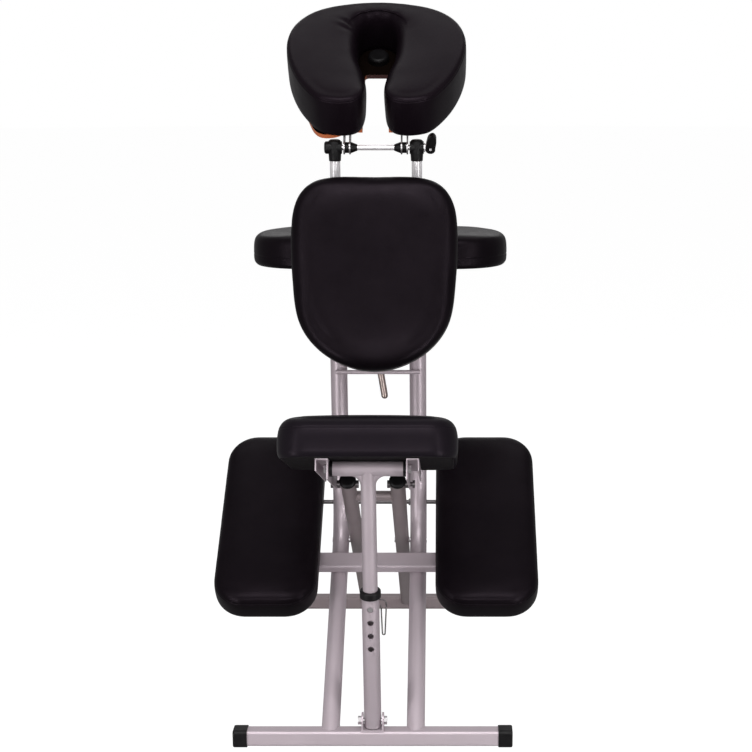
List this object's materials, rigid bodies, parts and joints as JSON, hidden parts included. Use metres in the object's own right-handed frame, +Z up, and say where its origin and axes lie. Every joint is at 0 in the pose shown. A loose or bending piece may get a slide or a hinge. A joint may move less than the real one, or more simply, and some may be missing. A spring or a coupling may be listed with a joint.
{
  "type": "folding massage chair",
  "caption": "Portable folding massage chair: crossed tube frame on foot bars, tilted seat on a pinned post, knee pads, chest pad, arm pad and a tilting horseshoe face cradle.",
  "frame": {"origin": "On the floor, in the middle of the overall box.", "axes": "+Z up; the sitter faces +Y, from the seat towards the chest pad and face cradle; +X to the sitter's right."},
  "size_m": [0.598, 0.8374, 1.288],
  "materials": {
    "painted": "glossy silver paint",
    "chrome": "polished",
    "steel": "zinc plated",
    "black_plastic": "satin moulded",
    "cover": "soft black synthetic leather",
    "plywood": "stained plywood",
    "lining": "black lining over the pad boards"
  },
  "bodies": {
    "main_frame": {"main_rail_left": "painted", "main_rail_right": "painted", "rear_foot_bar": "painted", "rear_foot_caps": "black_plastic", "knee_cross_bar": "painted", "knee_pad_screws": "steel", "knee_support_rod": "steel", "knee_rod_clips": "black_plastic", "knee_board_left": "lining", "knee_board_right": "lining", "knee_cushion_left": "cover", "knee_cushion_right": "cover", "post_foot_bracket": "painted", "post_pivot_bolt": "steel", "frame_pivot_bolts": "steel", "rail_top_bushes": "black_plastic", "chest_hinge_brackets": "painted", "chest_hinge_rod": "steel", "chest_lock_rod": "painted", "chest_clamp_block": "painted", "arm_rail_brackets": "painted", "arm_hinge_rod": "steel"},
    "front_leg_frame": {"front_strut_left": "painted", "front_strut_right": "painted", "strut_brace": "painted", "strut_end_caps": "black_plastic", "strut_hook_pins": "steel", "front_foot_bar": "painted", "front_foot_caps": "black_plastic"},
    "seat_post": {"lower_post_tube": "painted", "post_collar": "black_plastic", "seat_post_tee": "painted", "tee_bushes": "black_plastic", "seat_pivot_bolt": "steel"},
    "seat": {"seat_channel_left": "painted", "seat_channel_right": "painted", "seat_board": "lining", "seat_cushion": "cover"},
    "lock_pin": {"post_lock_pin": "steel"},
    "lock_pin_bail": {"pin_bail_wire": "steel"},
    "chest_rest": {"chest_board": "lining", "chest_cushion": "cover", "chest_hinge_lugs": "black_plastic", "chest_stay": "painted"},
    "chest_lever": {"chest_lock_lever": "steel"},
    "arm_rest": {"arm_board": "lining", "arm_cushion": "cover", "arm_support_plates": "painted"},
    "cradle_mast": {"cradle_upright_left": "chrome", "cradle_upright_right": "chrome", "cradle_tee_fittings": "black_plastic", "cradle_clamp_rod": "chrome"},
    "face_cradle": {"cradle_bracket_plates": "steel", "cradle_cone_bushes": "black_plastic", "cradle_plate": "plywood", "cradle_centre_cap": "black_plastic", "face_cushion": "cover"},
    "cam_lever": {"cradle_cam_lever": "black_plastic"},
    "upright_knob_l": {"upright_knob_left": "black_plastic"},
    "upright_knob_r": {"upright_knob_right": "black_plastic"}
  },
  "joints": [
    {"name": "frame_fold", "type": "hinge", "parent": "main_frame", "child": "front_leg_frame", "pos_m": [0, 0.0537, 0.2677], "axis": [-1, 0, 0], "range_deg": [0, 45]},
    {"name": "post_swing", "type": "hinge", "parent": "main_frame", "child": "seat_post", "pos_m": [0, -0.2873, 0.046], "axis": [-1, 0, 0], "range_deg": [0, 5]},
    {"name": "seat_flip", "type": "hinge", "parent": "seat_post", "child": "seat", "pos_m": [0, -0.3673, 0.523], "axis": [1, 0, 0], "range_deg": [0, 95]},
    {"name": "lock_pin_pull", "type": "slide", "parent": "seat_post", "child": "lock_pin", "axis": [0, 0.9862, 0.1654], "range_m": [0, 0.045]},
    {"name": "bail_swing", "type": "hinge", "parent": "lock_pin", "child": "lock_pin_bail", "pos_m": [0, -0.30274, 0.27409], "axis": [1, 0, 0], "range_deg": [0, 100]},
    {"name": "chest_tilt", "type": "hinge", "parent": "main_frame", "child": "chest_rest", "pos_m": [0, 0.0088, 0.925], "axis": [-1, 0, 0], "range_deg": [-8, 10]},
    {"name": "chest_lever_turn", "type": "hinge", "parent": "main_frame", "child": "chest_lever", "pos_m": [0, 0.0797, 0.612], "axis": [0, -1, 0], "range_deg": [0, 70]},
    {"name": "arm_tilt", "type": "hinge", "parent": "main_frame", "child": "arm_rest", "pos_m": [0, 0.0807, 0.77], "axis": [1, 0, 0], "range_deg": [-20, 15]},
    {"name": "cradle_height", "type": "slide", "parent": "main_frame", "child": "cradle_mast", "axis": [0, -0.0698, 0.9976], "range_m": [-0.035, 0.08]},
    {"name": "cradle_tilt", "type": "hinge", "parent": "cradle_mast", "child": "face_cradle", "pos_m": [0, 0.0322, 1.023], "axis": [1, 0, 0], "range_deg": [-25, 25]},
    {"name": "cam_lever_turn", "type": "hinge", "parent": "cradle_mast", "child": "cam_lever", "pos_m": [0.1, 0.0322, 1.023], "axis": [0, 0.866, 0.5], "range_deg": [0, 85]},
    {"name": "upright_knob_turn_l", "type": "hinge", "parent": "main_frame", "child": "upright_knob_l", "pos_m": [-0.075, 0.03909, 0.925], "axis": [0, 0.9976, 0.0698], "continuous": true},
    {"name": "upright_knob_turn_r", "type": "hinge", "parent": "main_frame", "child": "upright_knob_r", "pos_m": [0.075, 0.03909, 0.925], "axis": [0, 0.9976, 0.0698], "continuous": true}
  ],
  "couplings": [
    {"joint": "post_swing", "follows": "frame_fold", "ratio": 0.11111},
    {"joint": "seat_flip", "follows": "frame_fold", "ratio": 2.1111}
  ]
}
